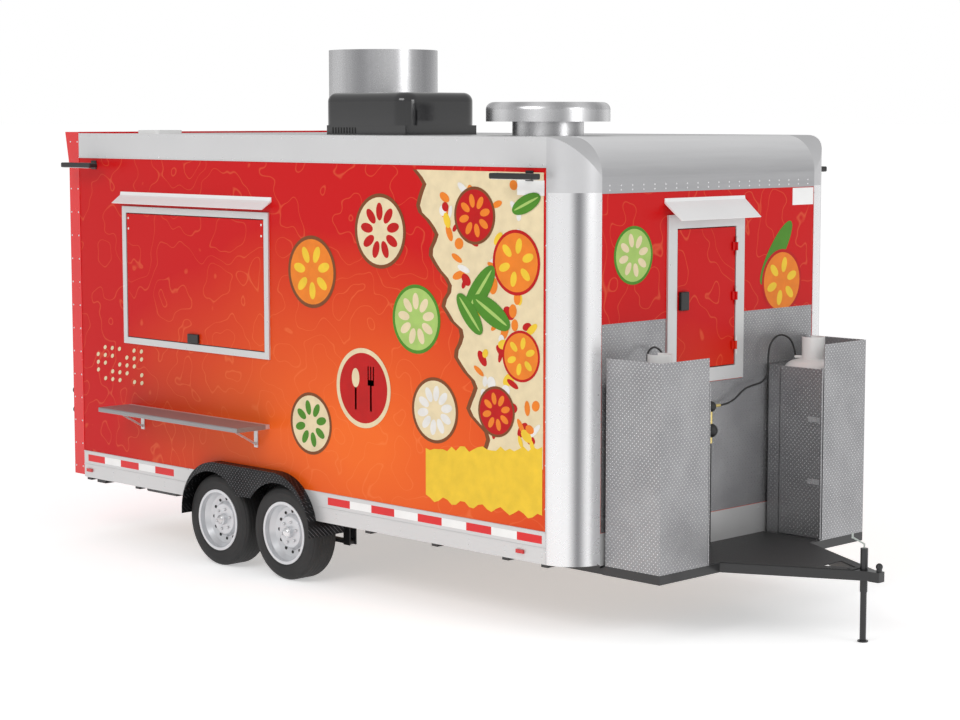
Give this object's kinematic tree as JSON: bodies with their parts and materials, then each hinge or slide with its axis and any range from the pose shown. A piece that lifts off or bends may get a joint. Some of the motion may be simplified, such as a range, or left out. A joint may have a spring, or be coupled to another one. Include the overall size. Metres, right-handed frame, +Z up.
{
  "type": "food concession trailer",
  "caption": "Enclosed food concession trailer with a side serving window, drop shelf, front gas enclosures, tandem axles, roof exhaust and tongue jack.",
  "frame": {"origin": "middle of the bounding box at the ground", "axes": "+X towards the tongue, +Y to the left side, +Z up"},
  "size_m": [6.1875, 2.875, 3.465],
  "materials": {
    "frame_black": "gloss black paint",
    "deck_mesh": "black expanded mesh",
    "jack_grey": "pale grey-green paint",
    "tyre": "ribbed tread",
    "wheel_white": "silver white enamel",
    "floor_ply": "sealed plywood",
    "wrap_panel": "printed red to orange wrap",
    "roof_sheet": "mill finish",
    "rear_red": "bright red gloss",
    "polished_corner": "polished",
    "cast_corner": "satin casting",
    "trim_aluminium": "satin",
    "drip_white": "white enamel",
    "strut_black": "black",
    "strut_rod_chrome": "polished",
    "tread_plate": "bright diamond pattern",
    "bottle_white": "white enamel",
    "regulator_black": "black",
    "brass": "machined",
    "pipe_black": "black pipe",
    "hose_black": "smooth",
    "cooler_black": "gloss black",
    "exhaust_steel": "brushed",
    "vent_chrome": "spun bright",
    "lamp_body": "clear and red lenses in pale housings"
  },
  "bodies": {
    "trailer": {"air_conditioner": "cooler_black", "axles": "frame_black", "brass_fittings": "brass", "chassis_frame": "frame_black", "coupler": "frame_black", "drip_caps": "drip_white", "exhaust_hood": "exhaust_steel", "fenders": "frame_black", "floor": "floor_ply", "front_corners": "polished_corner", "front_top_radius": "trim_aluminium", "gas_bottles": "bottle_white", "gas_enclosures": "tread_plate", "gas_hose_left": "hose_black", "gas_hose_right": "hose_black", "gas_pipe": "pipe_black", "jack_crank": "jack_grey", "jack_tube": "jack_grey", "lamps": "lamp_body", "leaf_springs": "frame_black", "opening_frames": "trim_aluminium", "plate_bracket": "frame_black", "rear_frame": "rear_red", "regulators": "regulator_black", "relief_vent": "vent_chrome", "roof": "roof_sheet", "roof_edges": "roof_sheet", "roof_vent": "bottle_white", "shelf_rail": "trim_aluminium", "skirts": "trim_aluminium", "tongue_deck": "deck_mesh", "tongue_frame": "frame_black", "top_corners": "cast_corner", "wall_front": "wrap_panel", "wall_left": "wrap_panel", "wall_rear": "wrap_panel", "wall_right": "wrap_panel", "waste_tank": "frame_black"},
    "wheel_front_right": {"tyre_front_right": "tyre", "rim_front_right": "wheel_white"},
    "wheel_front_left": {"tyre_front_left": "tyre", "rim_front_left": "wheel_white"},
    "wheel_rear_right": {"tyre_rear_right": "tyre", "rim_rear_right": "wheel_white"},
    "wheel_rear_left": {"tyre_rear_left": "tyre", "rim_rear_left": "wheel_white"},
    "jack_leg": {"jack_leg": "jack_grey"},
    "serving_window": {"serving_window": "wrap_panel", "window_latch": "trim_aluminium"},
    "strut_cylinders": {"strut_cylinders": "strut_black"},
    "strut_rods": {"strut_rods": "strut_rod_chrome"},
    "shelf": {"shelf": "trim_aluminium"},
    "brace_lower": {"brace_lower": "trim_aluminium"},
    "brace_upper": {"brace_upper": "trim_aluminium"},
    "front_hatch": {"front_hatch": "wrap_panel", "hatch_latch": "trim_aluminium"},
    "rear_door": {"rear_door": "wrap_panel", "rear_door_handle": "trim_aluminium"},
    "gas_door_right": {"gas_door_right": "tread_plate"},
    "gas_door_left": {"gas_door_left": "tread_plate"}
  },
  "joints": [
    {"name": "wheel_front_right_spin", "type": "hinge", "parent": "trailer", "child": "wheel_front_right", "pos_m": [-0.70925, -1.075, 0.308], "axis": [0, 1, 0], "continuous": true},
    {"name": "wheel_front_left_spin", "type": "hinge", "parent": "trailer", "child": "wheel_front_left", "pos_m": [-0.70925, 1.19, 0.308], "axis": [0, 1, 0], "continuous": true},
    {"name": "wheel_rear_right_spin", "type": "hinge", "parent": "trailer", "child": "wheel_rear_right", "pos_m": [-1.39225, -1.075, 0.308], "axis": [0, 1, 0], "continuous": true},
    {"name": "wheel_rear_left_spin", "type": "hinge", "parent": "trailer", "child": "wheel_rear_left", "pos_m": [-1.39225, 1.19, 0.308], "axis": [0, 1, 0], "continuous": true},
    {"name": "jack_slide", "type": "slide", "parent": "trailer", "child": "jack_leg", "axis": [0, 0, 1], "range_m": [0, 0.18]},
    {"name": "serving_window_hinge", "type": "hinge", "parent": "trailer", "child": "serving_window", "pos_m": [-1.63025, -1.1685, 2.3375], "axis": [-1, 0, 0], "range_deg": [0, 85]},
    {"name": "strut_swing", "type": "hinge", "parent": "trailer", "child": "strut_cylinders", "pos_m": [-1.63025, -1.1045, 1.62], "axis": [1, 0, 0], "range_deg": [0, 17.1]},
    {"name": "strut_slide", "type": "slide", "parent": "strut_cylinders", "child": "strut_rods", "axis": [0, 0, 1], "range_m": [0, 0.0915]},
    {"name": "shelf_fold", "type": "hinge", "parent": "trailer", "child": "shelf", "pos_m": [-1.61375, -1.1925, 0.97], "axis": [1, 0, 0], "range_deg": [0, 90]},
    {"name": "brace_lower_swing", "type": "hinge", "parent": "trailer", "child": "brace_lower", "pos_m": [-1.61025, -1.175, 0.865], "axis": [1, 0, 0], "range_deg": [0, 117.2]},
    {"name": "brace_upper_swing", "type": "hinge", "parent": "shelf", "child": "brace_upper", "pos_m": [-1.61025, -1.3425, 0.963], "axis": [-1, 0, 0], "range_deg": [0, 150.6]},
    {"name": "front_hatch_hinge", "type": "hinge", "parent": "trailer", "child": "front_hatch", "pos_m": [1.85325, 0.2645, 1.917], "axis": [0, 0, 1], "range_deg": [0, 100]},
    {"name": "rear_door_hinge", "type": "hinge", "parent": "trailer", "child": "rear_door", "pos_m": [-3.06675, 0.4905, 1.51], "axis": [0, 0, -1], "range_deg": [0, 110]},
    {"name": "gas_door_right_hinge", "type": "hinge", "parent": "trailer", "child": "gas_door_right", "pos_m": [2.26025, -0.4795, 0.95], "axis": [0, 0, -1], "range_deg": [0, 110]},
    {"name": "gas_door_left_hinge", "type": "hinge", "parent": "trailer", "child": "gas_door_left", "pos_m": [2.26025, 0.5945, 0.95], "axis": [0, 0, 1], "range_deg": [0, 110]}
  ],
  "couplings": [
    {"joint": "strut_swing", "follows": "serving_window_hinge", "ratio": 0.19923},
    {"joint": "strut_slide", "follows": "serving_window_hinge", "m_per_rad": 0.061238},
    {"joint": "brace_lower_swing", "follows": "shelf_fold", "ratio": 1.3},
    {"joint": "brace_upper_swing", "follows": "shelf_fold", "ratio": 1.671}
  ]
}
